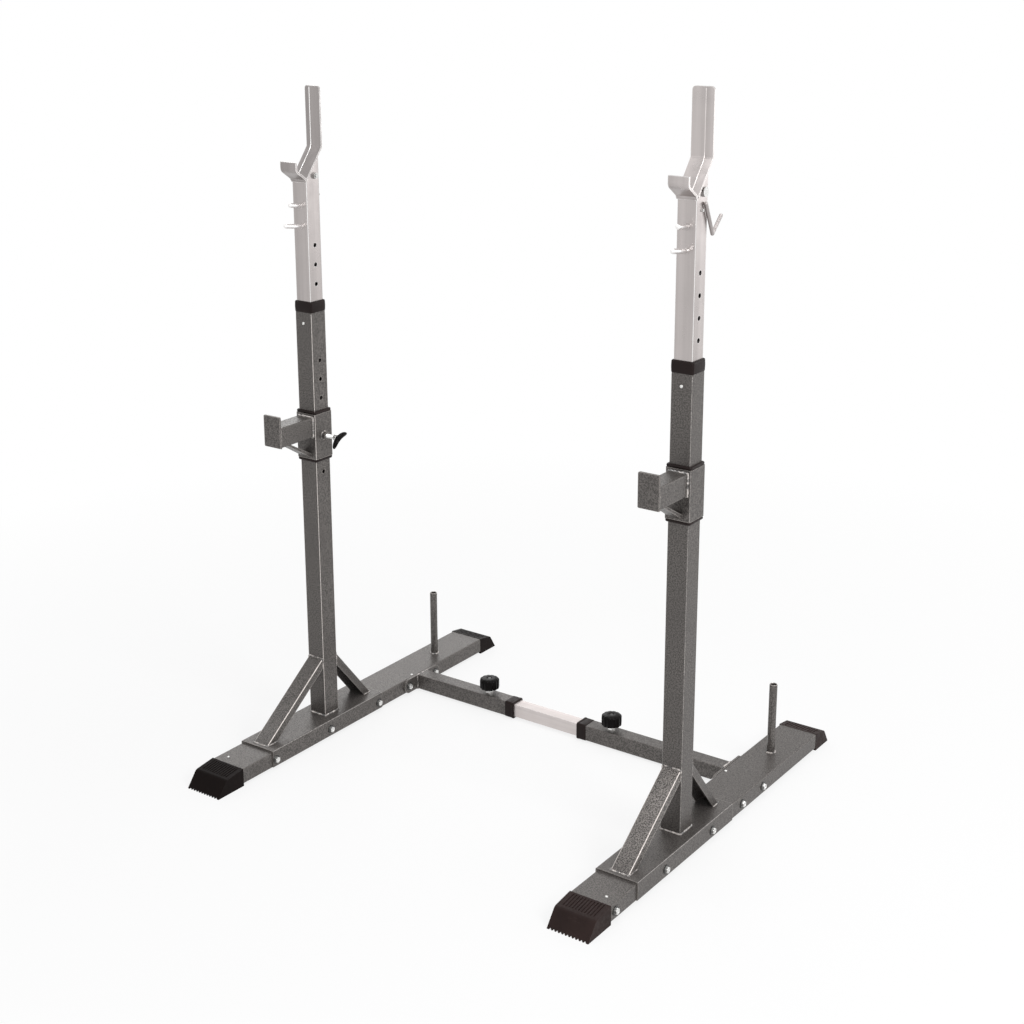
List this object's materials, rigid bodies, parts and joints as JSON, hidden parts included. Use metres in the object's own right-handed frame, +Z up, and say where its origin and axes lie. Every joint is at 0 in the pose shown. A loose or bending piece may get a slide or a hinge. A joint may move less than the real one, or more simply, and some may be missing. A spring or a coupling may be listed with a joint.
{
  "type": "squat stand",
  "caption": "Free-standing adjustable squat stand: uprights on flat base tubes joined by a telescoping crossbar, with sliding bar catches and spotter catches.",
  "frame": {"origin": "centre of the footprint, on the floor under the base caps", "axes": "+Z up along the uprights, +X from the left stand to the right stand, +Y from the lifter's side to the rear"},
  "size_m": [1.1398, 1.095, 1.646],
  "materials": {
    "hammertone": "grey hammertone paint",
    "chrome": "bright plated steel",
    "zinc": "zinc plated",
    "cap_plastic": "moulded, matt black",
    "bushing_plastic": "moulded black",
    "knob_plastic": "moulded black, slightly glossy"
  },
  "bodies": {
    "left_stand": {"left_base_tube": "hammertone", "left_front_cap": "cap_plastic", "left_rear_cap": "cap_plastic", "left_foot_plate": "hammertone", "left_base_bolts": "zinc", "left_upright": "hammertone", "left_front_brace": "hammertone", "left_rear_brace": "hammertone", "left_storage_peg": "hammertone", "left_top_bushing": "bushing_plastic", "left_bushing_screw": "zinc", "left_crossbar_half": "hammertone", "left_crossbar_flange": "hammertone", "left_end_bushing": "bushing_plastic"},
    "left_bar_catch": {"left_inner_tube": "chrome", "left_catch_lip": "chrome", "left_bar_guide": "chrome", "left_front_pegs": "chrome", "left_rear_hook": "chrome", "left_catch_bolts": "zinc"},
    "left_spotter_catch": {"left_spotter_sleeve": "hammertone", "left_spotter_liners": "bushing_plastic", "left_spotter_arm": "hammertone", "left_spotter_stop": "hammertone", "left_spotter_brace": "hammertone"},
    "left_wing": {"left_wing_screw": "zinc", "left_wing_handle": "knob_plastic"},
    "left_clamp": {"left_clamp_stud": "zinc", "left_clamp_knob": "knob_plastic"},
    "right_stand": {"right_base_tube": "hammertone", "right_front_cap": "cap_plastic", "right_rear_cap": "cap_plastic", "right_foot_plate": "hammertone", "right_base_bolts": "zinc", "right_upright": "hammertone", "right_front_brace": "hammertone", "right_rear_brace": "hammertone", "right_storage_peg": "hammertone", "right_top_bushing": "bushing_plastic", "right_bushing_screw": "zinc", "right_crossbar_half": "hammertone", "right_crossbar_flange": "hammertone", "right_end_bushing": "bushing_plastic"},
    "right_bar_catch": {"right_inner_tube": "chrome", "right_catch_lip": "chrome", "right_bar_guide": "chrome", "right_front_pegs": "chrome", "right_rear_hook": "chrome", "right_catch_bolts": "zinc"},
    "right_spotter_catch": {"right_spotter_sleeve": "hammertone", "right_spotter_liners": "bushing_plastic", "right_spotter_arm": "hammertone", "right_spotter_stop": "hammertone", "right_spotter_brace": "hammertone"},
    "right_wing": {"right_wing_screw": "zinc", "right_wing_handle": "knob_plastic"},
    "right_clamp": {"right_clamp_stud": "zinc", "right_clamp_knob": "knob_plastic"},
    "crossbar_slider": {"crossbar_slider": "chrome"}
  },
  "joints": [
    {"name": "left_half_slide", "type": "slide", "parent": "left_stand", "child": "crossbar_slider", "axis": [1, 0, 0], "range_m": [-0.11, 0.09]},
    {"name": "right_half_slide", "type": "slide", "parent": "crossbar_slider", "child": "right_stand", "axis": [1, 0, 0], "range_m": [-0.07, 0.09]},
    {"name": "left_bar_catch_slide", "type": "slide", "parent": "left_stand", "child": "left_bar_catch", "axis": [0, 0, 1], "range_m": [-0.138, 0.23]},
    {"name": "left_spotter_slide", "type": "slide", "parent": "left_stand", "child": "left_spotter_catch", "axis": [0, 0, 1], "range_m": [-0.092, 0.184]},
    {"name": "left_wing_turn", "type": "hinge", "parent": "left_spotter_catch", "child": "left_wing", "pos_m": [-0.451, -0.1175, 0.777], "axis": [1, 0, 0], "continuous": true},
    {"name": "left_clamp_turn", "type": "hinge", "parent": "left_stand", "child": "left_clamp", "pos_m": [-0.235, 0.2125, 0.06], "axis": [0, 0, 1], "continuous": true},
    {"name": "right_bar_catch_slide", "type": "slide", "parent": "right_stand", "child": "right_bar_catch", "axis": [0, 0, 1], "range_m": [-0.184, 0.184]},
    {"name": "right_spotter_slide", "type": "slide", "parent": "right_stand", "child": "right_spotter_catch", "axis": [0, 0, 1], "range_m": [-0.138, 0.138]},
    {"name": "right_wing_turn", "type": "hinge", "parent": "right_spotter_catch", "child": "right_wing", "pos_m": [0.451, -0.1175, 0.823], "axis": [1, 0, 0], "continuous": true},
    {"name": "right_clamp_turn", "type": "hinge", "parent": "right_stand", "child": "right_clamp", "pos_m": [0.137, 0.2125, 0.06], "axis": [0, 0, 1], "continuous": true}
  ]
}
